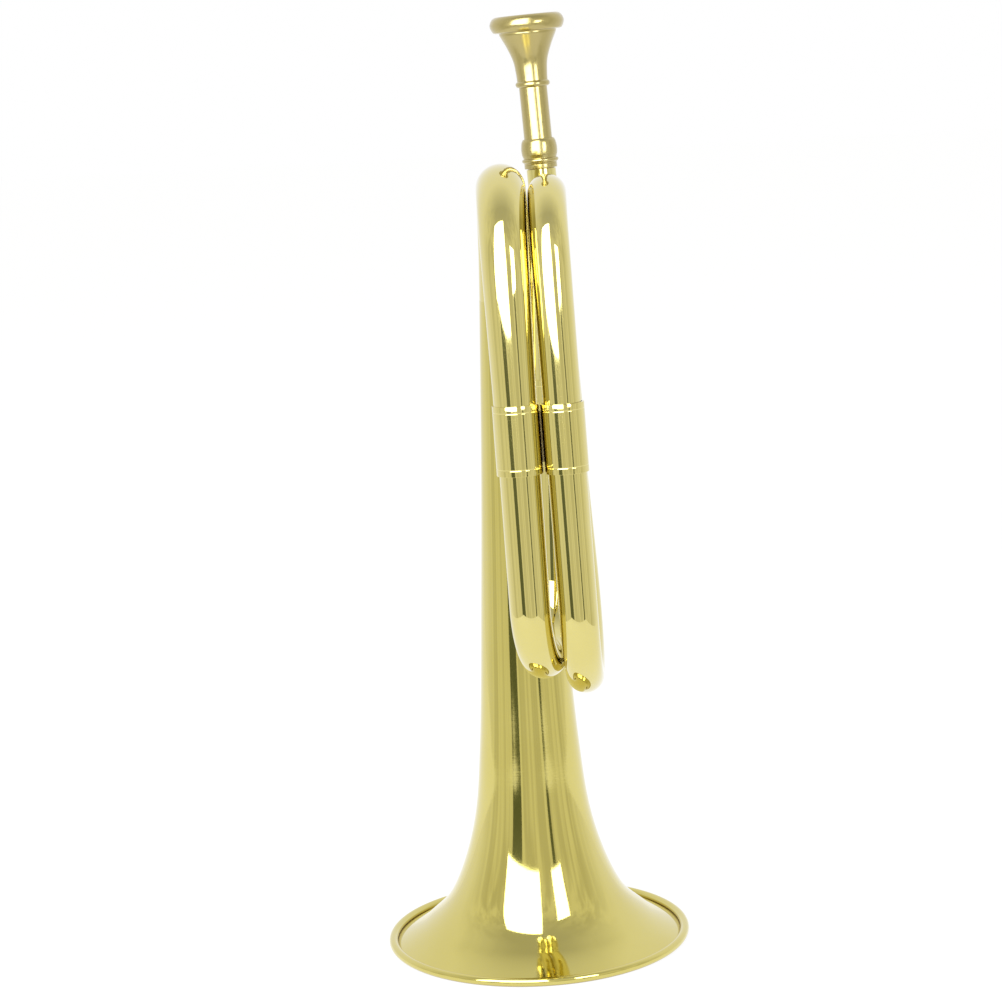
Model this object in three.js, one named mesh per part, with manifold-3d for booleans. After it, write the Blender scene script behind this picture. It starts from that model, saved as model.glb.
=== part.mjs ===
// A double-wrap B-flat bugle in lacquered brass, standing upright on its bell rim.
// Millimetres, +Z up. The player's side of the loops faces -Y, and the bell's axis is vertical.
// The air runs: mouthpiece, receiver, leadpipe, lower right bow, front right tube, upper right bow,
// middle tube, lower left bow, front left tube, upper left bow, bell.
import * as THREE from 'three';
import { mergeVertices } from 'three/addons/utils/BufferGeometryUtils.js';
import Module from 'manifold-3d';

const wasm = await Module();
wasm.setup();

// ---- Driving dimensions ------------------------------------------------------------------

const CLEARANCE = 0.3; // air left between two pieces that are soldered or rest on each other
const TUBE_WALL = 0.5;

// Bell: radius and height of its outer surface, from the narrow tail down to the rim.
const BELL_OUTLINE = [
  [9.95, 240],
  [12.4, 181],
  [15.05, 130],
  [18.3, 76],
  [22.2, 44],
  [31, 18.8],
  [42, 6.6],
];
const BELL_WALL = 0.6;
const BELL_TAIL_Z = 240;
const RIM_RADIUS = 56.3; // outside of the rolled rim
const CURL_RADIUS = 1.6; // outside radius of the rolled rim's section
const CURL_SHEET = 0.5;
const CURL_END = 195; // degrees, where the roll stops short of the bell and leaves a slit
const CURL_STEP = 45;
const WIRE_RADIUS = 0.8;
const BELL_SIDES = 40;

// Legs: the straight runs of tube, as x and y at two heights.
const LEG_TOP_Z = 270;
const LEG_FOOT_Z = 130;
const BELL_LEG = { top: [0, 0], foot: [0, 0] };
const LEFT_LEG = { top: [-0.2, -58.5], foot: [2.8, -66] };
const RIGHT_LEG = { top: [15.5, -58.5], foot: [19.5, -66] };
const MIDDLE_LEG = { top: [16.3, -7], foot: [13, -20.5] };
const LEADPIPE_LEG = { top: [15.6, 6.5], foot: [22.6, -3.3] };

// Heights where the bows leave the legs, and where the tubes butt inside their ferrules.
const UPPER_LEFT_BOW_Z = 253.2;
const UPPER_RIGHT_BOW_Z = 255.5;
const LOWER_LEFT_BOW_Z = 141.3;
const LOWER_RIGHT_BOW_Z = 141.5;
const JOINT_Z = 200;
const LEADPIPE_TOP_Z = 285.6;

// Ferrules: plain sleeves with a fine turned line near each end.
const FERRULE_LENGTH = 24.3;
const FERRULE_WALL = 0.45;
const FERRULE_LINE_INSET = 2.3;
const FERRULE_LINE_DEPTH = 0.15;

// Mouthpiece and receiver, measured along their axis from the receiver's top edge.
const MOUTHPIECE_TOP = 44.3;
const SHANK_END = -20;
const SHANK_RADIUS = 5.05;
const RIM_OUTER = 13.4;
const THROAT_RADIUS = 1.9;
const RECEIVER_LENGTH = 10.6;
const RECEIVER_BORE = 5.4;

const TUBE_SIDES = 14;
const TURNED_SIDES = 24;
const BOW_STEPS = 12;

// ---- Materials ----------------------------------------------------------------------------

// Lacquered brass; the tint differs a little between sheet, drawn tube and turned pieces.
function brass(name, color, roughness) {
  const material = new THREE.MeshStandardMaterial({ color, roughness, metalness: 1 });
  material.name = name;
  return material;
}

const SHEET_BRASS = brass('sheet_brass', 0xd8cc7c, 0.16);
const TUBE_BRASS = brass('tube_brass', 0xd6c873, 0.12);
const TURNED_BRASS = brass('turned_brass', 0xe0d38a, 0.14);
const SOLDER = brass('silver_solder', 0xb8ae84, 0.35);

// ---- Legs and bows ------------------------------------------------------------------------

function legPoint(leg, z) {
  const fall = (LEG_TOP_Z - z) / (LEG_TOP_Z - LEG_FOOT_Z);
  const x = THREE.MathUtils.lerp(leg.top[0], leg.foot[0], fall);
  const y = THREE.MathUtils.lerp(leg.top[1], leg.foot[1], fall);
  return new THREE.Vector3(x, y, z);
}

function legUp(leg) {
  return legPoint(leg, LEG_TOP_Z).sub(legPoint(leg, LEG_FOOT_Z)).normalize();
}

// A U-bend between two legs, leaving each along its own direction.
class Bow extends THREE.Curve {
  constructor(fromLeg, fromZ, toLeg, toZ, turn) {
    super();
    const start = legPoint(fromLeg, fromZ);
    const end = legPoint(toLeg, toZ);
    this.middle = start.clone().add(end).multiplyScalar(0.5);
    this.half = end.sub(start).multiplyScalar(0.5);
    const reach = this.half.length() * turn;
    this.startReach = legUp(fromLeg).multiplyScalar(reach);
    this.endReach = legUp(toLeg).multiplyScalar(reach);
  }

  getPoint(t, target = new THREE.Vector3()) {
    const angle = Math.PI * t;
    const blend = (1 - Math.cos(angle)) / 2;
    const reach = this.startReach.clone().lerp(this.endReach, blend);
    target.copy(this.middle).addScaledVector(this.half, -Math.cos(angle));
    return target.addScaledVector(reach, Math.sin(angle));
  }
}

// A straight run up or down one leg.
function run(leg, fromZ, toZ) {
  return new THREE.LineCurve3(legPoint(leg, fromZ), legPoint(leg, toZ));
}

// ---- Hollow tubes -------------------------------------------------------------------------

// Linear interpolation in a list of [position, value] knots.
function between(knots, position) {
  const next = Math.max(1, knots.findIndex((knot) => knot[0] >= position));
  const [low, high] = [knots[next - 1], knots[next]];
  return THREE.MathUtils.mapLinear(position, low[0], high[0], low[1], high[1]);
}

// Fractions of a path's length where its rings lie: few on straight runs, more on bows.
function ringPositions(path) {
  const total = path.getLength();
  const positions = [0];
  let walked = 0;
  for (const piece of path.curves) {
    const steps = piece instanceof Bow ? BOW_STEPS : 1;
    for (let step = 1; step <= steps; step += 1) {
      positions.push((walked + (piece.getLength() * step) / steps) / total);
    }
    walked += piece.getLength();
  }
  return positions;
}

// Moves a solid that stands along +Y, from 0 to 1, onto a path in space.
function bendAlong(geometry, path) {
  const position = geometry.attributes.position;
  const point = new THREE.Vector3();
  const side = new THREE.Vector3();
  const depth = new THREE.Vector3();
  for (let index = 0; index < position.count; index += 1) {
    point.fromBufferAttribute(position, index);
    const fraction = THREE.MathUtils.clamp(point.y, 0, 1);
    const tangent = path.getTangent(fraction);
    side.set(1, 0, 0).addScaledVector(tangent, -tangent.x).normalize();
    depth.crossVectors(side, tangent);
    const centre = path.getPoint(fraction);
    centre.addScaledVector(side, point.x).addScaledVector(depth, point.z);
    position.setXYZ(index, centre.x, centre.y, centre.z);
  }
  return geometry;
}

// A hollow tube with open ends along a chain of runs and bows. The radii are knots of
// [fraction of the length, outer radius].
function taperedTube(pieces, radii, wall = TUBE_WALL) {
  const path = new THREE.CurvePath();
  pieces.forEach((piece) => path.add(piece));
  const rings = ringPositions(path);
  const outer = rings.map((u) => new THREE.Vector2(between(radii, u), u));
  const inner = outer.map((ring) => new THREE.Vector2(ring.x - wall, ring.y)).reverse();
  const profile = [...outer, ...inner, outer[0].clone()];
  return bendAlong(new THREE.LatheGeometry(profile, TUBE_SIDES), path);
}

// ---- Turned pieces ------------------------------------------------------------------------

function turned(outline, sides = TURNED_SIDES) {
  return new THREE.LatheGeometry([...outline, outline[0].clone()], sides);
}

// Stands a turned solid on a leg: its +Y goes along the leg, its origin to height z.
function placeOnLeg(mesh, leg, z) {
  mesh.quaternion.setFromUnitVectors(new THREE.Vector3(0, 1, 0), legUp(leg));
  mesh.position.copy(legPoint(leg, z));
  return mesh;
}

function ferruleOutline(boreRadius) {
  const outerRadius = boreRadius + FERRULE_WALL;
  const half = FERRULE_LENGTH / 2;
  const line = half - FERRULE_LINE_INSET;
  const groove = [-line, line].flatMap((middle) => [
    new THREE.Vector2(outerRadius, middle - FERRULE_LINE_DEPTH),
    new THREE.Vector2(outerRadius - FERRULE_LINE_DEPTH, middle),
    new THREE.Vector2(outerRadius, middle + FERRULE_LINE_DEPTH),
  ]);
  return [
    new THREE.Vector2(boreRadius, -half),
    new THREE.Vector2(outerRadius, -half),
    ...groove,
    new THREE.Vector2(outerRadius, half),
    new THREE.Vector2(boreRadius, half),
  ];
}

function mouthpieceOutline() {
  const outline = new THREE.Path();
  outline.moveTo(3.7, SHANK_END);
  outline.lineTo(4.5, SHANK_END);
  outline.lineTo(SHANK_RADIUS, 0);
  outline.lineTo(SHANK_RADIUS, 18.5);
  // The bead round the foot of the cup.
  outline.absarc(SHANK_RADIUS, 19.65, 1.15, -Math.PI / 2, Math.PI / 3);
  // The cup flares out to the groove under the rim.
  outline.splineThru([
    new THREE.Vector2(5.65, 23.5),
    new THREE.Vector2(6.2, 28),
    new THREE.Vector2(7.9, 32.8),
    new THREE.Vector2(10.1, 37.4),
  ]);
  outline.lineTo(10.4, 38.3);
  // The rounded rim band.
  outline.splineThru([
    new THREE.Vector2(12.5, 38.9),
    new THREE.Vector2(RIM_OUTER, 41.3),
    new THREE.Vector2(12.5, 43.5),
    new THREE.Vector2(10.6, MOUTHPIECE_TOP),
    new THREE.Vector2(8.4, 43),
  ]);
  // The inside of the cup falls to the throat.
  outline.splineThru([
    new THREE.Vector2(7.8, 39.5),
    new THREE.Vector2(5.6, 32.8),
    new THREE.Vector2(THROAT_RADIUS, 26.5),
  ]);
  outline.lineTo(THROAT_RADIUS, 22);
  outline.closePath();
  return outline.getPoints(3).slice(0, -1);
}

function receiverOutline() {
  const outline = new THREE.Path();
  outline.moveTo(RECEIVER_BORE - 0.45, -RECEIVER_LENGTH);
  outline.lineTo(5.9, -RECEIVER_LENGTH);
  outline.lineTo(5.9, -8.7);
  // The thin ring under the barrel.
  outline.absarc(5.8, -7.75, 0.8, -Math.PI / 3, Math.PI / 3);
  // The rounded barrel.
  outline.splineThru([
    new THREE.Vector2(6.35, -5.6),
    new THREE.Vector2(6.5, -3.4),
    new THREE.Vector2(6.1, -0.9),
    new THREE.Vector2(RECEIVER_BORE + 0.15, 0),
  ]);
  outline.lineTo(RECEIVER_BORE, 0);
  outline.lineTo(RECEIVER_BORE, -7);
  outline.closePath();
  return outline.getPoints(3).slice(0, -1);
}

// ---- Bell ---------------------------------------------------------------------------------

const CURL_CENTRE = new THREE.Vector2(RIM_RADIUS - CURL_RADIUS, 0);

// Corners of the rolled rim, on a polygon whose flat sides touch the given radius. The first
// side lies flat underneath, which is the face that the bugle stands on.
function curlCorners(radius) {
  const cornerRadius = radius / Math.cos(THREE.MathUtils.degToRad(CURL_STEP / 2));
  const corners = [];
  for (let angle = -90 - CURL_STEP / 2; angle < CURL_END; angle += CURL_STEP) {
    const turn = THREE.MathUtils.degToRad(angle);
    const corner = new THREE.Vector2(Math.cos(turn), Math.sin(turn));
    corners.push(corner.multiplyScalar(cornerRadius).add(CURL_CENTRE));
  }
  const turn = THREE.MathUtils.degToRad(CURL_END);
  const lip = new THREE.Vector2(Math.cos(turn), Math.sin(turn));
  corners.push(lip.multiplyScalar(radius).add(CURL_CENTRE));
  return corners;
}

// The bell's outer surface, from the tail down to the start of the rolled rim.
function bellOuterPoints() {
  const rimStart = curlCorners(CURL_RADIUS - CURL_SHEET)[0];
  const knots = [...BELL_OUTLINE.map(([r, z]) => new THREE.Vector2(r, z)), rimStart];
  return new THREE.SplineCurve(knots).getPoints(21);
}

// The same line moved inwards by the sheet's thickness, ending at the rim's flat underside.
function bellInnerPoints(outer) {
  const inner = outer.slice(0, -1).map((point, index) => {
    const before = outer[Math.max(index - 1, 0)];
    const along = outer[index + 1].clone().sub(before).normalize();
    return new THREE.Vector2(point.x + along.y * BELL_WALL, point.y - along.x * BELL_WALL);
  });
  inner[0].y = BELL_TAIL_Z;
  return inner;
}

function bellGeometry() {
  const outer = bellOuterPoints();
  const inner = bellInnerPoints(outer);
  const outside = curlCorners(CURL_RADIUS);
  const inside = curlCorners(CURL_RADIUS - CURL_SHEET).reverse();
  const outline = [...inner, ...outside, ...inside.slice(0, -1), ...outer.reverse()];
  return turned(outline, BELL_SIDES).rotateX(Math.PI / 2);
}

function bellRadiusAt(z) {
  const knots = bellOuterPoints().map((point) => [point.y, point.x]).reverse();
  return between(knots, z);
}

// ---- Solder saddles -----------------------------------------------------------------------

function toSolid(geometry, matrix) {
  const shape = geometry.clone().applyMatrix4(matrix);
  shape.deleteAttribute('normal');
  shape.deleteAttribute('uv');
  const welded = mergeVertices(shape);
  return new wasm.Manifold(new wasm.Mesh({
    numProp: 3,
    vertProperties: Float32Array.from(welded.attributes.position.array),
    triVerts: Uint32Array.from(welded.index.array),
  }));
}

function fromSolid(solid) {
  const mesh = solid.getMesh();
  const geometry = new THREE.BufferGeometry();
  geometry.setAttribute('position', new THREE.BufferAttribute(mesh.vertProperties, 3));
  geometry.setIndex(new THREE.BufferAttribute(mesh.triVerts, 1));
  return geometry;
}

// A round cutter that leaves a little air round a tube.
function tubeCutter(leg, z, radius) {
  const cylinder = new THREE.CylinderGeometry(radius + CLEARANCE, radius + CLEARANCE, 40, 32);
  const mesh = placeOnLeg(new THREE.Mesh(cylinder), leg, z);
  mesh.updateMatrix();
  return toSolid(cylinder, mesh.matrix);
}

// A small saddle soldered between two neighbouring tubes: a block less both tubes.
// setBack moves it behind the line between the two tubes' centres.
function saddleGeometry(first, second, z, { height, width, setBack = 0 }) {
  const from = legPoint(first.leg, z);
  const to = legPoint(second.leg, z);
  const span = to.clone().sub(from);
  const block = new THREE.Object3D();
  block.position.copy(from).lerp(to, first.radius / (first.radius + second.radius));
  block.position.y += setBack;
  block.rotation.z = Math.atan2(span.y, span.x);
  block.updateMatrix();
  const box = toSolid(new THREE.BoxGeometry(span.length() * 0.7, width, height), block.matrix);
  const solid = box
    .subtract(tubeCutter(first.leg, z, first.radius))
    .subtract(tubeCutter(second.leg, z, second.radius));
  return fromSolid(solid);
}

// ---- Assembly -----------------------------------------------------------------------------

const bugle = new THREE.Group();

function add(name, geometry, material) {
  const mesh = new THREE.Mesh(geometry, material);
  mesh.name = name;
  bugle.add(mesh);
  return mesh;
}

// Outer radii of the tubes where they butt inside the ferrules, below and above the joint.
const LEFT_TUBE = { leg: LEFT_LEG, below: 7.25, above: 7.35 };
const RIGHT_TUBE = { leg: RIGHT_LEG, below: 6.9, above: 6.75 };
const MIDDLE_TUBE = { leg: MIDDLE_LEG, below: 7.05, above: 7 };
const LEADPIPE = { leg: LEADPIPE_LEG, below: 5.8, above: 5.75 };
const LEADPIPE_TOP_RADIUS = 5.35;

const ABOVE_JOINT = JOINT_Z + CLEARANCE / 2;
const BELOW_JOINT = JOINT_Z - CLEARANCE / 2;

function addBell() {
  add('bell', bellGeometry(), SHEET_BRASS);
  const wire = new THREE.TorusGeometry(CURL_CENTRE.x, WIRE_RADIUS, 8, BELL_SIDES);
  add('rim_wire', wire, TURNED_BRASS);
}

// The bell's narrow tail meets the upper left bow over a short inner sleeve.
function addBellTailSleeve() {
  const outer = BELL_OUTLINE[0][0] - BELL_WALL - 2 * CLEARANCE;
  const sleeve = turned([
    new THREE.Vector2(outer - TUBE_WALL, -7),
    new THREE.Vector2(outer, -7),
    new THREE.Vector2(outer, 7),
    new THREE.Vector2(outer - TUBE_WALL, 7),
  ]);
  placeOnLeg(add('bell_tail_sleeve', sleeve, TUBE_BRASS), BELL_LEG, BELL_TAIL_Z);
}

function addTubes() {
  add('leadpipe', taperedTube(
    [run(LEADPIPE_LEG, LEADPIPE_TOP_Z, ABOVE_JOINT)],
    [[0, LEADPIPE_TOP_RADIUS], [1, LEADPIPE.above]],
    0.35,
  ), TUBE_BRASS);
  add('lower_right_bow', taperedTube(
    [
      run(LEADPIPE_LEG, BELOW_JOINT, LOWER_RIGHT_BOW_Z + 2),
      new Bow(LEADPIPE_LEG, LOWER_RIGHT_BOW_Z + 2, RIGHT_LEG, LOWER_RIGHT_BOW_Z - 2, -1),
      run(RIGHT_LEG, LOWER_RIGHT_BOW_Z - 2, BELOW_JOINT),
    ],
    [[0, LEADPIPE.below], [0.7, RIGHT_TUBE.below], [1, RIGHT_TUBE.below]],
  ), TUBE_BRASS);
  add('upper_right_bow', taperedTube(
    [
      run(RIGHT_LEG, ABOVE_JOINT, UPPER_RIGHT_BOW_Z),
      new Bow(RIGHT_LEG, UPPER_RIGHT_BOW_Z, MIDDLE_LEG, UPPER_RIGHT_BOW_Z, 1),
      run(MIDDLE_LEG, UPPER_RIGHT_BOW_Z, ABOVE_JOINT),
    ],
    [[0, RIGHT_TUBE.above], [1, MIDDLE_TUBE.above]],
  ), TUBE_BRASS);
  add('lower_left_bow', taperedTube(
    [
      run(MIDDLE_LEG, BELOW_JOINT, LOWER_LEFT_BOW_Z),
      new Bow(MIDDLE_LEG, LOWER_LEFT_BOW_Z, LEFT_LEG, LOWER_LEFT_BOW_Z, -1),
      run(LEFT_LEG, LOWER_LEFT_BOW_Z, BELOW_JOINT),
    ],
    [[0, MIDDLE_TUBE.below], [1, LEFT_TUBE.below]],
  ), TUBE_BRASS);
  add('upper_left_bow', taperedTube(
    [
      run(LEFT_LEG, ABOVE_JOINT, UPPER_LEFT_BOW_Z),
      new Bow(LEFT_LEG, UPPER_LEFT_BOW_Z, BELL_LEG, UPPER_LEFT_BOW_Z, 1),
      run(BELL_LEG, UPPER_LEFT_BOW_Z, BELL_TAIL_Z + CLEARANCE),
    ],
    [[0, LEFT_TUBE.above], [0.9, 9.45], [1, BELL_OUTLINE[0][0]]],
  ), TUBE_BRASS);
}

function boreOf(tube) {
  return Math.max(tube.below, tube.above) + CLEARANCE;
}

function addFerrules() {
  const ferrules = {
    left_ferrule: LEFT_TUBE,
    right_ferrule: RIGHT_TUBE,
    middle_ferrule: MIDDLE_TUBE,
    leadpipe_ferrule: LEADPIPE,
  };
  for (const [name, tube] of Object.entries(ferrules)) {
    const ferrule = add(name, turned(ferruleOutline(boreOf(tube)), 20), TURNED_BRASS);
    placeOnLeg(ferrule, tube.leg, JOINT_Z);
  }
}

// The receiver stands on the leadpipe's top edge and takes the mouthpiece's shank.
function addMouthpieceAndReceiver() {
  const receiverTopZ = LEADPIPE_TOP_Z + (RECEIVER_LENGTH + CLEARANCE) * legUp(LEADPIPE_LEG).z;
  const receiver = add('mouthpiece_receiver', turned(receiverOutline()), TURNED_BRASS);
  placeOnLeg(receiver, LEADPIPE_LEG, receiverTopZ);
  const mouthpiece = add('mouthpiece', turned(mouthpieceOutline()), TURNED_BRASS);
  placeOnLeg(mouthpiece, LEADPIPE_LEG, receiverTopZ);
}

// Saddles tie the bell, the middle tube and the leadpipe together above and below the
// ferrules, and one bridge ties the two front ferrules.
function addSaddles() {
  const size = { height: 10, width: 5 };
  for (const [level, z] of [['upper', 236], ['lower', 160]]) {
    const bell = { leg: BELL_LEG, radius: bellRadiusAt(z - size.height / 2) };
    const middle = { leg: MIDDLE_LEG, radius: 7.1 };
    const leadpipe = { leg: LEADPIPE_LEG, radius: level === 'upper' ? 5.7 : 6.1 };
    add(`${level}_middle_saddle`, saddleGeometry(bell, middle, z, size), SOLDER);
    add(`${level}_leadpipe_saddle`, saddleGeometry(bell, leadpipe, z, size), SOLDER);
  }
  const left = { leg: LEFT_LEG, radius: boreOf(LEFT_TUBE) + FERRULE_WALL };
  const right = { leg: RIGHT_LEG, radius: boreOf(RIGHT_TUBE) + FERRULE_WALL };
  const bridge = { height: 18, width: 3, setBack: 5 };
  add('front_bridge', saddleGeometry(left, right, JOINT_Z, bridge), SOLDER);
}

addBell();
addBellTailSleeve();
addTubes();
addFerrules();
addMouthpieceAndReceiver();
addSaddles();

// The origin is the middle of the footprint, on the surface that the rim stands on.
bugle.updateMatrixWorld(true);
const box = new THREE.Box3().setFromObject(bugle, true);
const middle = box.getCenter(new THREE.Vector3());
bugle.position.set(-middle.x, -middle.y, -box.min.z);

export default bugle;
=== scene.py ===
import math

import bmesh
import bpy
from mathutils import Matrix, Vector


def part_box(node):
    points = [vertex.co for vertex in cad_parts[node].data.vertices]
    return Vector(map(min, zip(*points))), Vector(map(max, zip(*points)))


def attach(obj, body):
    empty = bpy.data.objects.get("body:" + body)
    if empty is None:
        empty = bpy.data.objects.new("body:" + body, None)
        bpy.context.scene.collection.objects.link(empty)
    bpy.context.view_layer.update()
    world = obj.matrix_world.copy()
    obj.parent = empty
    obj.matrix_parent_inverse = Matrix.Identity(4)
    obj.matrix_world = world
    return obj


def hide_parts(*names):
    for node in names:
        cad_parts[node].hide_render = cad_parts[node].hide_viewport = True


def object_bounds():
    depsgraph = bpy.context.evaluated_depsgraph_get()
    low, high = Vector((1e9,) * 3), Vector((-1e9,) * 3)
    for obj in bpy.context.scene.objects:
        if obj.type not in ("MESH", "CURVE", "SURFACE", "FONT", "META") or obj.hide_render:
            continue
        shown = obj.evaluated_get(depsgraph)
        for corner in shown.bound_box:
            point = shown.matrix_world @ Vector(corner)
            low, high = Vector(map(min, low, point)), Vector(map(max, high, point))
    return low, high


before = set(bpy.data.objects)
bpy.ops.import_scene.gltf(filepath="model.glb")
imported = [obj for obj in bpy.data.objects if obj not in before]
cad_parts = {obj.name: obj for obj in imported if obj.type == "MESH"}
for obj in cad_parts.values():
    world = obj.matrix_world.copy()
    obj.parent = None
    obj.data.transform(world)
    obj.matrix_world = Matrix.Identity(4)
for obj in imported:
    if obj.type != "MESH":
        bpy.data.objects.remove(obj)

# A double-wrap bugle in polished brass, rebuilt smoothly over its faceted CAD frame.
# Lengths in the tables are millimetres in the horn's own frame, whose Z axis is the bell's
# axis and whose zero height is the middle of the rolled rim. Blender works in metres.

CAD_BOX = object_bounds()
MM = 0.001

# ---- Driving dimensions, as in the CAD -----------------------------------------------------

BELL_OUTLINE = [(9.95, 240), (12.4, 181), (15.05, 130), (18.3, 76), (22.2, 44), (31, 18.8), (42, 6.6)]
BELL_WALL = 0.6
RIM_RADIUS = 56.3
CURL_RADIUS = 1.6
CURL_SHEET = 0.5
CURL_END = 195
WIRE_RADIUS = 0.8

LEG_TOP_Z = 270
LEG_FOOT_Z = 130
LEGS = {
    "bell": ((0, 0), (0, 0)),
    "left": ((-0.2, -58.5), (2.8, -66)),
    "right": ((15.5, -58.5), (19.5, -66)),
    "middle": ((16.3, -7), (13, -20.5)),
    "leadpipe": ((15.6, 6.5), (22.6, -3.3)),
}
UPPER_LEFT_BOW_Z = 253.2
UPPER_RIGHT_BOW_Z = 255.5
LOWER_LEFT_BOW_Z = 141.3
LOWER_RIGHT_BOW_Z = 141.5
LOWER_RIGHT_TILT = 2
JOINT_Z = 200
BELL_TAIL_Z = 240
LEADPIPE_TOP_Z = 285.6
TUBE_WALL = 0.5
LEADPIPE_WALL = 0.35
CLEARANCE = 0.3
POLISH = 0.05  # what polishing takes off a tube's radius

# Outer radii of the tubes below and above the joint that each ferrule covers.
JOINTS = {
    "left": (7.25, 7.35),
    "right": (6.9, 6.75),
    "middle": (7.05, 7.0),
    "leadpipe": (5.8, 5.75),
}
LEADPIPE_TOP_RADIUS = 5.35
FERRULE_LENGTH = 24.3
FERRULE_WALL = 0.45
FERRULE_BORE_GAP = 0.02
FERRULE_EASE = 0.1
LINE_INSET = 2.3  # from a ferrule's end to its turned line
# A turned line's section, as (distance from its middle, depth).
LINE_SECTION = [(-0.32, 0), (-0.22, 0), (-0.14, 0.04), (0, 0.1), (0.14, 0.04), (0.22, 0), (0.32, 0)]

# Heights on the mouthpiece and receiver run along the leadpipe, from the receiver's top.
SHANK_RADIUS = 5.05
SHANK_END = -20
BEAD_HEIGHT = 19.65
BEAD_RADIUS = 1.15
CUP_OUTSIDE = [(5.52, 20.75), (5.65, 23.5), (6.2, 28), (7.9, 32.8), (10.1, 37.4)]
CUP_LEDGE = [(10.25, 37.75), (10.25, 38.15), (10.5, 38.4)]
MOUTHPIECE_RIM = [(11.2, 38.45), (12.5, 38.9), (13.4, 41.3), (12.5, 43.5), (10.6, 44.29), (8.4, 43)]
CUP_INSIDE = [(8.15, 42.2), (7.8, 39.5), (5.6, 32.8), (1.9, 26.5)]
THROAT = (1.9, 22)
RECEIVER_LENGTH = 10.6
RECEIVER_BORE = 5.12
COLLAR = [(5.9, -9.15), (5.82, -9.05), (5.9, -8.95), (5.95, -8.6)]
COLLAR_EASE = 0.15
RING_HEIGHT = -7.75
RING_RADIUS = 0.75
BARREL_FOOT = [(5.98, -7.0), (5.98, -6.75)]
BARREL = [(6.1, -6.5), (6.4, -5.4), (6.5, -3.4), (6.15, -1.1), (5.5, 0)]

TUBE_SIDES = 72
TURNED_SIDES = 96
BELL_SIDES = 192
BOW_STEPS = 64


# ---- The horn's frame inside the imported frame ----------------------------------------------

bell_low, bell_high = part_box("bell")
HORN_ORIGIN = Vector((
    (bell_low.x + bell_high.x) / 2,
    (bell_low.y + bell_high.y) / 2,
    bell_low.z + CURL_RADIUS * MM,
))


def leg_point(leg, z):
    top, foot = LEGS[leg]
    fall = (LEG_TOP_Z - z) / (LEG_TOP_Z - LEG_FOOT_Z)
    x = top[0] + (foot[0] - top[0]) * fall
    y = top[1] + (foot[1] - top[1]) * fall
    return Vector((x, y, z))


def leg_up(leg):
    return (leg_point(leg, LEG_TOP_Z) - leg_point(leg, LEG_FOOT_Z)).normalized()


# ---- Meshes --------------------------------------------------------------------------------

def grid_solid(name, rings, lengths):
    """A closed solid from rings of points that wrap round both ways.

    lengths gives each ring's distance along the piece, which the UV map keeps in metres.
    """
    bm = bmesh.new()
    uv = bm.loops.layers.uv.new("along")
    made = [[bm.verts.new(HORN_ORIGIN + point * MM) for point in ring] for ring in rings]
    count = len(rings)
    sides = len(rings[0])
    for i in range(count):
        j = (i + 1) % count
        for k in range(sides):
            n = (k + 1) % sides
            face = bm.faces.new((made[i][k], made[i][n], made[j][n], made[j][k]))
            face.smooth = True
            corners = ((k, i), (k + 1, i), (k + 1, j), (k, j))
            for loop, (turn, row) in zip(face.loops, corners):
                loop[uv].uv = (turn / sides, lengths[row] * MM)
    bmesh.ops.recalc_face_normals(bm, faces=bm.faces)
    mesh = bpy.data.meshes.new(name)
    bm.to_mesh(mesh)
    bm.free()
    mesh.set_sharp_from_angle(angle=math.radians(32))
    piece = bpy.data.objects.new(name, mesh)
    bpy.context.scene.collection.objects.link(piece)
    return piece


def lathe(name, outline, sides, leg="bell", z=0):
    """Turns a closed outline of (radius, height) about a leg's axis, from height z up."""
    up = leg_up(leg)
    across = (Vector((1, 0, 0)) - up * up.x).normalized()
    depth = up.cross(across)
    start = leg_point(leg, z)
    rings = []
    lengths = [0]
    for index, (radius, height) in enumerate(outline):
        ring = []
        for k in range(sides):
            turn = 2 * math.pi * k / sides
            spoke = depth * math.cos(turn) - across * math.sin(turn)
            ring.append(start + up * height + spoke * radius)
        rings.append(ring)
        if index:
            step = Vector(outline[index]) - Vector(outline[index - 1])
            lengths.append(lengths[-1] + step.length)
    return grid_solid(name, rings, lengths)


def between(knots, position):
    for low, high in zip(knots, knots[1:]):
        if position <= high[0]:
            break
    part = (position - low[0]) / (high[0] - low[0])
    return low[1] + (high[1] - low[1]) * min(max(part, 0), 1)


def straight(leg, from_z, to_z, steps=10):
    start, end = leg_point(leg, from_z), leg_point(leg, to_z)
    return [start.lerp(end, i / steps) for i in range(steps + 1)]


def bow(from_leg, from_z, to_leg, to_z, turn):
    """A U-bend between two legs, leaving each along its own direction."""
    start, end = leg_point(from_leg, from_z), leg_point(to_leg, to_z)
    middle, half = (start + end) / 2, (end - start) / 2
    reach = half.length * turn
    points = []
    for i in range(BOW_STEPS + 1):
        angle = math.pi * i / BOW_STEPS
        out = leg_up(from_leg).lerp(leg_up(to_leg), (1 - math.cos(angle)) / 2) * reach
        points.append(middle - half * math.cos(angle) + out * math.sin(angle))
    return points


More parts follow.
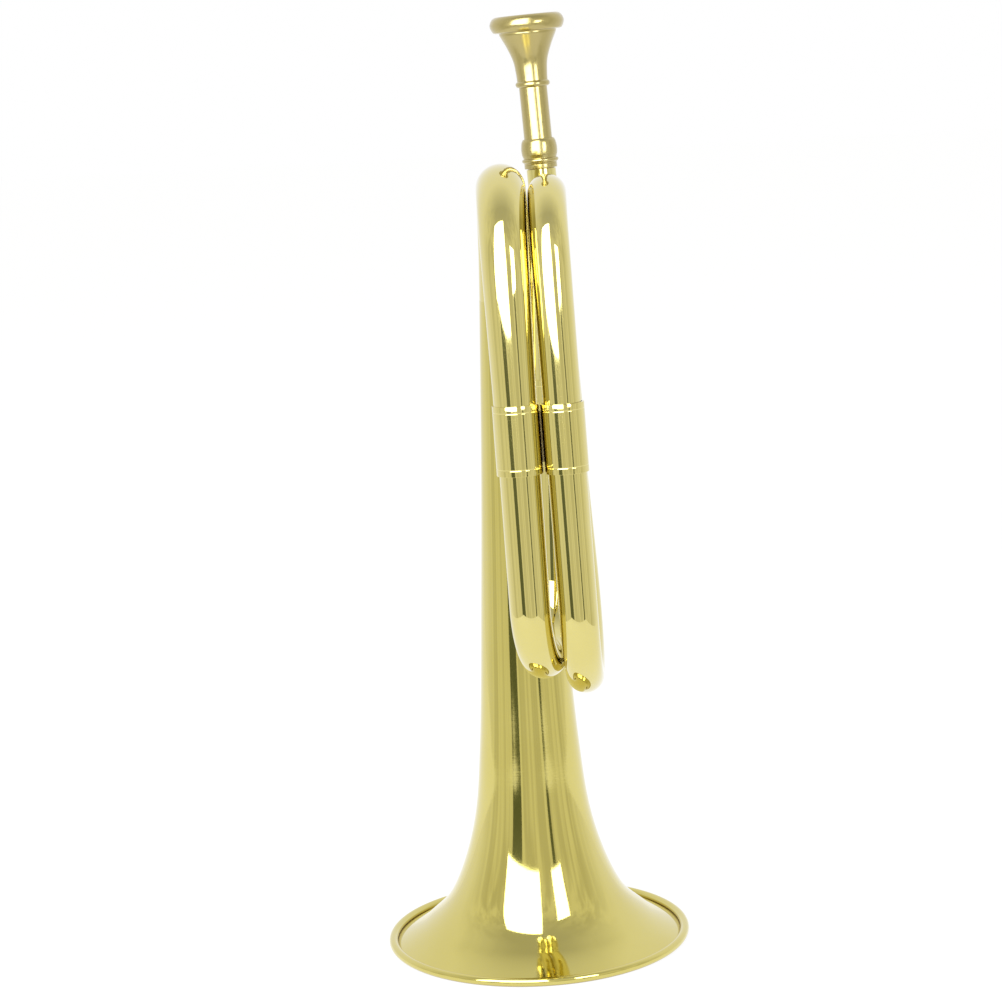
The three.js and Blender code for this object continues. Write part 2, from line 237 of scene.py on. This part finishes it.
def tube(name, runs, radii, wall=TUBE_WALL):
    """A hollow tube with open ends. radii are knots of (fraction of length, radius)."""
    points = []
    for run in runs:
        points += run if not points else run[1:]
    walked = [0]
    for a, b in zip(points, points[1:]):
        walked.append(walked[-1] + (b - a).length)
    outer, inner = [], []
    for index, point in enumerate(points):
        before = points[max(index - 1, 0)]
        after = points[min(index + 1, len(points) - 1)]
        along = (after - before).normalized()
        across = (Vector((1, 0, 0)) - along * along.x).normalized()
        depth = across.cross(along)
        radius = between(radii, walked[index] / walked[-1]) - POLISH
        spokes = []
        for k in range(TUBE_SIDES):
            turn = 2 * math.pi * k / TUBE_SIDES
            spokes.append(across * math.cos(turn) + depth * math.sin(turn))
        outer.append([point + spoke * radius for spoke in spokes])
        inner.append([point + spoke * (radius - wall) for spoke in spokes])
    return grid_solid(name, outer + inner[::-1], walked + walked[::-1])


def spline(points, per_span):
    """A Catmull-Rom curve through the points, which starts and ends on them."""
    padded = [points[0], *points, points[-1]]
    curve = []
    for a, b, c, d in zip(padded, padded[1:], padded[2:], padded[3:]):
        for step in range(per_span):
            t = step / per_span
            curve.append(tuple(
                0.5 * (2 * q + (r - p) * t + (2 * p - 5 * q + 4 * r - s) * t * t
                       + (3 * q - p - 3 * r + s) * t ** 3)
                for p, q, r, s in zip(a, b, c, d)
            ))
    curve.append(tuple(points[-1]))
    return curve


def arc(centre, radius, from_degrees, to_degrees, steps):
    points = []
    for i in range(steps + 1):
        turn = math.radians(from_degrees + (to_degrees - from_degrees) * i / steps)
        points.append((centre[0] + radius * math.cos(turn), centre[1] + radius * math.sin(turn)))
    return points


# ---- Brass ---------------------------------------------------------------------------------

BRASS = (0.735, 0.65, 0.245)
SHEET_BRASS = (0.675, 0.59, 0.18)
SATIN_BRASS = (0.49, 0.41, 0.165)
# The solder's tint is darkened to paint the shade between the tubes where it sits; its rougher finish
# is its own.
SOLDER_SHADE_TINT = (0.36, 0.3, 0.16)
CREVICE_SHADE_AND_POLISH = (0.26, 0.16, 0.03)  # painted shade in grooves and between parts, with some old polish left in the grooves
CREVICE_SHADE_REACH = 0.0018  # how near another wall, in metres, makes a place take the painted crevice shade


class Nodes:
    """A small helper for laying out a material's nodes."""

    def __init__(self, tree):
        self.tree = tree

    def add(self, kind, inputs=None, **settings):
        node = self.tree.nodes.new(kind)
        for key, value in settings.items():
            setattr(node, key, value)
        for key, value in (inputs or {}).items():
            if isinstance(value, bpy.types.NodeSocket):
                self.tree.links.new(value, node.inputs[key])
            else:
                node.inputs[key].default_value = value
        return node


def brass(name, tint, stretch, grain, roughness, coordinates="UV"):
    """Polished, lacquered brass.

    stretch scales the polishing lines round and along the piece, grain is the height of the
    lines in metres, and roughness is the lowest and highest value that the polish leaves.
    """
    material = bpy.data.materials.new(name)
    material.use_nodes = True
    tree = material.node_tree
    tree.nodes.clear()
    nodes = Nodes(tree)
    place = nodes.add("ShaderNodeTexCoord")
    lines = nodes.add("ShaderNodeMapping", {"Vector": place.outputs[coordinates], "Scale": stretch})
    fine = nodes.add("ShaderNodeTexNoise", {"Vector": lines.outputs["Vector"], "Scale": 1.0,
                                            "Detail": 4.0, "Roughness": 0.65})
    cloud = nodes.add("ShaderNodeTexNoise", {"Vector": place.outputs["Object"], "Scale": 38.0,
                                             "Detail": 3.0})
    tone = nodes.add("ShaderNodeValToRGB", {"Fac": cloud.outputs["Fac"]})
    tone.color_ramp.elements[0].position = 0.3
    tone.color_ramp.elements[1].position = 0.75
    tone.color_ramp.elements[0].color = (tint[0] * 0.965, tint[1] * 0.955, tint[2] * 0.88, 1)
    tone.color_ramp.elements[1].color = (tint[0], tint[1], tint[2], 1)
    gloss = nodes.add("ShaderNodeMapRange", {"Value": fine.outputs["Fac"], "From Min": 0.3,
                                             "From Max": 0.75, "To Min": roughness[0],
                                             "To Max": roughness[1]})
    ripple = nodes.add("ShaderNodeBump", {"Height": fine.outputs["Fac"], "Strength": 1.0,
                                          "Distance": grain})
    # Painted shade: where ambient occlusion finds another wall close by, the dark crevice colour is
    # mixed into the brass.
    shelter = nodes.add("ShaderNodeAmbientOcclusion", {"Distance": CREVICE_SHADE_REACH}, samples=8)
    unshaded = nodes.add("ShaderNodeMapRange", {"Value": shelter.outputs["AO"], "From Min": 0.12,
                                             "From Max": 0.55, "To Min": 0.0, "To Max": 1.0})
    crevice_shaded = nodes.add("ShaderNodeMixRGB", {"Fac": unshaded.outputs["Result"],
                                            "Color1": (*CREVICE_SHADE_AND_POLISH, 1),
                                            "Color2": tone.outputs["Color"]})
    shader = nodes.add("ShaderNodeBsdfPrincipled", {
        "Base Color": crevice_shaded.outputs["Color"], "Roughness": gloss.outputs["Result"],
        "Normal": ripple.outputs["Normal"], "Metallic": 1.0, "Coat Weight": 0.6,
        "Coat Roughness": 0.02, "Coat IOR": 1.45,
    })
    nodes.add("ShaderNodeOutputMaterial", {"Surface": shader.outputs["BSDF"]})
    return material


SHEET = brass("spun_sheet", SHEET_BRASS, (26, 2600, 1), 3.5e-6, (0.035, 0.075))
DRAWN = brass("drawn_tube", BRASS, (130, 60, 1), 1.2e-6, (0.03, 0.06))
TURNED = brass("turned_brass", BRASS, (3, 5200, 1), 1.5e-6, (0.05, 0.09))
SATIN = brass("satin_mouthpiece", SATIN_BRASS, (3, 4200, 1), 2.5e-6, (0.2, 0.28))
SOLDER = brass("smoothed_solder_painted_shade", SOLDER_SHADE_TINT, (900, 900, 900), 2.0e-5, (0.22, 0.34), "Object")


def finish_piece(piece, body, node, material):
    piece.data.materials.append(material)
    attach(piece, body)
    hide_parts(node)


# ---- Bell ----------------------------------------------------------------------------------

CURL_CENTRE = (RIM_RADIUS - CURL_RADIUS, 0)


def make_bell():
    inside_radius = CURL_RADIUS - CURL_SHEET
    rim_start = (CURL_CENTRE[0] - 0.5, -inside_radius)
    outer = spline([*BELL_OUTLINE, rim_start], 14)
    inner = []
    for index, point in enumerate(outer[:-1]):
        before = Vector(outer[max(index - 1, 0)])
        along = (Vector(outer[index + 1]) - before).normalized()
        inner.append((point[0] + along.y * BELL_WALL, point[1] - along.x * BELL_WALL))
    inner[0] = (inner[0][0], BELL_TAIL_Z)
    outside = arc(CURL_CENTRE, CURL_RADIUS, -90, CURL_END, 40)
    inside = arc(CURL_CENTRE, inside_radius, CURL_END, -90, 40)
    outline = [*inner, *outside, *inside, *outer[::-1]]
    bell = lathe("bell_smooth", outline, BELL_SIDES)
    finish_piece(bell, "horn", "bell", SHEET)


def make_rim_wire():
    wire = lathe("rim_wire_smooth", arc(CURL_CENTRE, WIRE_RADIUS, 0, 345, 23), BELL_SIDES)
    finish_piece(wire, "horn", "rim_wire", TURNED)


# ---- Tubes ---------------------------------------------------------------------------------

def make_tubes():
    below = {leg: radii[0] for leg, radii in JOINTS.items()}
    above = {leg: radii[1] for leg, radii in JOINTS.items()}
    joint_above = JOINT_Z + CLEARANCE / 2
    joint_below = JOINT_Z - CLEARANCE / 2
    right_rear_z = LOWER_RIGHT_BOW_Z + LOWER_RIGHT_TILT
    right_front_z = LOWER_RIGHT_BOW_Z - LOWER_RIGHT_TILT
    tubes = {
        "leadpipe": (
            [straight("leadpipe", LEADPIPE_TOP_Z, joint_above)],
            [(0, LEADPIPE_TOP_RADIUS), (1, above["leadpipe"])],
        ),
        "lower_right_bow": (
            [
                straight("leadpipe", joint_below, right_rear_z),
                bow("leadpipe", right_rear_z, "right", right_front_z, -1),
                straight("right", right_front_z, joint_below),
            ],
            [(0, below["leadpipe"]), (0.7, below["right"]), (1, below["right"])],
        ),
        "upper_right_bow": (
            [
                straight("right", joint_above, UPPER_RIGHT_BOW_Z),
                bow("right", UPPER_RIGHT_BOW_Z, "middle", UPPER_RIGHT_BOW_Z, 1),
                straight("middle", UPPER_RIGHT_BOW_Z, joint_above),
            ],
            [(0, above["right"]), (1, above["middle"])],
        ),
        "lower_left_bow": (
            [
                straight("middle", joint_below, LOWER_LEFT_BOW_Z),
                bow("middle", LOWER_LEFT_BOW_Z, "left", LOWER_LEFT_BOW_Z, -1),
                straight("left", LOWER_LEFT_BOW_Z, joint_below),
            ],
            [(0, below["middle"]), (1, below["left"])],
        ),
        "upper_left_bow": (
            [
                straight("left", joint_above, UPPER_LEFT_BOW_Z),
                bow("left", UPPER_LEFT_BOW_Z, "bell", UPPER_LEFT_BOW_Z, 1),
                straight("bell", UPPER_LEFT_BOW_Z, BELL_TAIL_Z),
            ],
            [(0, above["left"]), (0.9, 9.45), (1, BELL_OUTLINE[0][0])],
        ),
    }
    for node, (runs, radii) in tubes.items():
        wall = LEADPIPE_WALL if node == "leadpipe" else TUBE_WALL
        piece = tube(f"{node}_smooth", runs, radii, wall)
        finish_piece(piece, "horn", node, DRAWN)


# ---- Ferrules ------------------------------------------------------------------------------

def ferrule_outline(bore_radius, outer_radius):
    """A sleeve that sits snugly on its tube, with eased ends and two turned lines."""
    half = FERRULE_LENGTH / 2
    eased_radius = outer_radius - FERRULE_EASE
    outline = [(bore_radius, -half)]
    outline += arc((eased_radius, -half + FERRULE_EASE), FERRULE_EASE, -90, 0, 5)
    for middle in (LINE_INSET - half, half - LINE_INSET):
        outline += [(outer_radius - depth, middle + offset) for offset, depth in LINE_SECTION]
    outline += arc((eased_radius, half - FERRULE_EASE), FERRULE_EASE, 0, 90, 5)
    outline.append((bore_radius, half))
    return outline


def make_ferrules():
    for leg, radii in JOINTS.items():
        widest = max(radii)
        outer_radius = widest + CLEARANCE + FERRULE_WALL
        outline = ferrule_outline(widest + FERRULE_BORE_GAP, outer_radius)
        piece = lathe(f"{leg}_ferrule_smooth", outline, TURNED_SIDES, leg, JOINT_Z)
        finish_piece(piece, "horn", f"{leg}_ferrule", TURNED)


# ---- Mouthpiece and receiver ----------------------------------------------------------------

RECEIVER_TOP_Z = LEADPIPE_TOP_Z + (RECEIVER_LENGTH + CLEARANCE) * leg_up("leadpipe").z


def make_mouthpiece():
    """Turned in one: backbore and shank, bead, cup, rim, and down the cup to the throat."""
    outline = [(3.7, SHANK_END), (4.5, SHANK_END), (SHANK_RADIUS, 0), (SHANK_RADIUS, 18.45)]
    outline += arc((SHANK_RADIUS, BEAD_HEIGHT), BEAD_RADIUS, -82, 64, 14)
    outline += spline(CUP_OUTSIDE, 10)
    outline += CUP_LEDGE
    outline += spline(MOUTHPIECE_RIM, 12)
    outline += spline(CUP_INSIDE, 12)
    outline.append(THROAT)
    piece = lathe("mouthpiece_smooth", outline, TURNED_SIDES, "leadpipe", RECEIVER_TOP_Z)
    finish_piece(piece, "mouthpiece", "mouthpiece", SATIN)


def make_receiver():
    """A collar on the leadpipe, a thin ring, and a barrel that takes the shank."""
    foot = -RECEIVER_LENGTH
    outline = [(5.0, foot), (5.75, foot)]
    outline += arc((5.75, foot + COLLAR_EASE), COLLAR_EASE, -90, 0, 4)
    outline += COLLAR
    outline += arc((5.85, RING_HEIGHT), RING_RADIUS, -70, 70, 12)
    outline += BARREL_FOOT
    outline += spline(BARREL, 10)
    outline += [(RECEIVER_BORE, 0), (RECEIVER_BORE, -7)]
    piece = lathe("mouthpiece_receiver_smooth", outline, TURNED_SIDES, "leadpipe", RECEIVER_TOP_Z)
    finish_piece(piece, "horn", "mouthpiece_receiver", SATIN)


# ---- Solder and the hidden sleeve, kept as CAD solids ---------------------------------------

SOLDERED_NODES = [
    "upper_middle_saddle",
    "upper_leadpipe_saddle",
    "lower_middle_saddle",
    "lower_leadpipe_saddle",
    "front_bridge",
    "bell_tail_sleeve",
]


def finish_cad_nodes():
    for name in SOLDERED_NODES:
        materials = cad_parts[name].data.materials
        materials.clear()
        materials.append(SOLDER)


# ---- Studio --------------------------------------------------------------------------------

CAMERA_DISTANCE = 1.16  # horizontally, from the bell's axis
CAMERA_HEIGHT = 0.406
CAMERA_SIDE = -0.0005
CAMERA_PITCH = 11.7  # degrees down, and then yaw and roll in degrees
CAMERA_YAW = -0.265
CAMERA_ROLL = -3.004
CAMERA_LENS = 116.4


def make_camera():
    data = bpy.data.cameras.new("camera")
    data.lens = CAMERA_LENS
    data.sensor_width = 36
    camera = bpy.data.objects.new("camera", data)
    bpy.context.scene.collection.objects.link(camera)
    pitch, yaw, roll = (math.radians(a) for a in (CAMERA_PITCH, CAMERA_YAW, CAMERA_ROLL))
    ahead = Vector((math.sin(yaw) * math.cos(pitch), math.cos(yaw) * math.cos(pitch), -math.sin(pitch)))
    level = Vector((math.cos(yaw), -math.sin(yaw), 0))
    up = level.cross(ahead)
    right = level * math.cos(roll) + up * math.sin(roll)
    up = up * math.cos(roll) - level * math.sin(roll)
    turn = Matrix((right, up, -ahead)).transposed().to_4x4()
    place = HORN_ORIGIN + Vector((CAMERA_SIDE, -CAMERA_DISTANCE, CAMERA_HEIGHT))
    camera.matrix_world = Matrix.Translation(place) @ turn
    bpy.context.scene.camera = camera


def plain_material(name, diffuse, glow, strength):
    material = bpy.data.materials.new(name)
    material.use_nodes = True
    shader = material.node_tree.nodes["Principled BSDF"]
    shader.inputs["Base Color"].default_value = (*diffuse, 1)
    shader.inputs["Roughness"].default_value = 0.9
    shader.inputs["Specular IOR Level"].default_value = 0.0
    shader.inputs["Emission Color"].default_value = (*glow, 1)
    shader.inputs["Emission Strength"].default_value = strength
    return material


def rectangle(name, corners, material):
    mesh = bpy.data.meshes.new(name)
    mesh.from_pydata([Vector(c) for c in corners], [], [tuple(range(len(corners)))])
    mesh.materials.append(material)
    board = bpy.data.objects.new(name, mesh)
    bpy.context.scene.collection.objects.link(board)
    return board


def make_floor():
    """A white table top under the bugle, which ends in front of it and at both sides."""
    white = plain_material("table_white", (0.12, 0.12, 0.12), (1.0, 1.0, 1.0), 0.9)
    z = CAD_BOX[0].z
    rectangle("floor", [(-0.36, -0.5, z), (0.38, -0.5, z), (0.9, 3.0, z), (-0.9, 3.0, z)], white)


def board(name, left, right, foot, head, material, drop=0):
    """A board before the bugle, between two azimuths in degrees to the right of the camera.

    foot and head are its lower and upper edges, each as (distance, height) in metres, and
    drop is how far its lower left corner hangs below the right one.
    """
    x0 = foot[0] * math.tan(math.radians(left))
    x1 = foot[0] * math.tan(math.radians(right))
    panel = rectangle(name, [(x0, -foot[0], foot[1] - drop), (x1, -foot[0], foot[1]),
                             (x1, -head[0], head[1]), (x0, -head[0], head[1])], material)
    panel.visible_camera = False
    panel.visible_shadow = False


def make_boards():
    """Two softboxes and the dark stands under them."""
    soft = plain_material("softbox", (0.9, 0.9, 0.9), (0.9, 0.93, 1.0), 5.5)
    dark = plain_material("dark_stand", (0.03, 0.03, 0.03), (0.10, 0.115, 0.06), 1.0)
    board("softbox_left", -49, 5, (0.52, 0.205), (0.42, 1.1), soft, drop=0.024)
    board("softbox_right", 25, 42, (0.56, 0.227), (0.45, 0.62), soft)
    board("stand_left", -41, -23, (0.63, -0.6), (0.63, 0.22), dark)
    board("stand_right", 30, 35, (0.63, -0.6), (0.63, 0.24), dark)


def mix_colours(nodes, amount, first, second):
    mix = nodes.add("ShaderNodeMixRGB", {"Fac": amount, "Color1": first, "Color2": second})
    return mix.outputs["Color"]


def make_world():
    """Bright behind the bugle, a dimmer panelled room in front of it, dimmer still overhead."""
    world = bpy.data.worlds.new("studio")
    bpy.context.scene.world = world
    world.use_nodes = True
    tree = world.node_tree
    tree.nodes.clear()
    nodes = Nodes(tree)
    place = nodes.add("ShaderNodeTexCoord")
    split = nodes.add("ShaderNodeSeparateXYZ", {"Vector": place.outputs["Generated"]})
    tall = nodes.add("ShaderNodeMapping", {"Vector": place.outputs["Generated"],
                                           "Scale": (5.0, 5.0, 0.5)})
    panels = nodes.add("ShaderNodeTexNoise", {"Vector": tall.outputs["Vector"], "Scale": 1.6,
                                              "Detail": 2.0})
    patchy = nodes.add("ShaderNodeMapRange", {"Value": panels.outputs["Fac"], "From Min": 0.4,
                                              "From Max": 0.6})
    depth = nodes.add("ShaderNodeMapRange", {"Value": split.outputs["Y"], "From Min": -0.15,
                                             "From Max": 0.45})
    height = nodes.add("ShaderNodeMapRange", {"Value": split.outputs["Z"], "From Min": 0.6,
                                              "From Max": 0.95})
    room = mix_colours(nodes, patchy.outputs["Result"], (0.68, 0.67, 0.58, 1), (0.88, 0.87, 0.78, 1))
    room = mix_colours(nodes, height.outputs["Result"], room, (0.56, 0.56, 0.55, 1))
    lit = mix_colours(nodes, depth.outputs["Result"], room, (0.98, 0.98, 1.0, 1))
    seen = nodes.add("ShaderNodeLightPath")
    around = nodes.add("ShaderNodeBackground", {"Color": lit, "Strength": 1.0})
    white = nodes.add("ShaderNodeBackground", {"Color": (1, 1, 1, 1), "Strength": 1.0})
    both = nodes.add("ShaderNodeMixShader", {0: seen.outputs["Is Camera Ray"],
                                             1: around.outputs["Background"],
                                             2: white.outputs["Background"]})
    nodes.add("ShaderNodeOutputWorld", {"Surface": both.outputs["Shader"]})


make_bell()
make_rim_wire()
make_tubes()
make_ferrules()
make_mouthpiece()
make_receiver()
finish_cad_nodes()
make_camera()
make_floor()
make_boards()
make_world()
bpy.context.scene.view_settings.view_transform = "Standard"
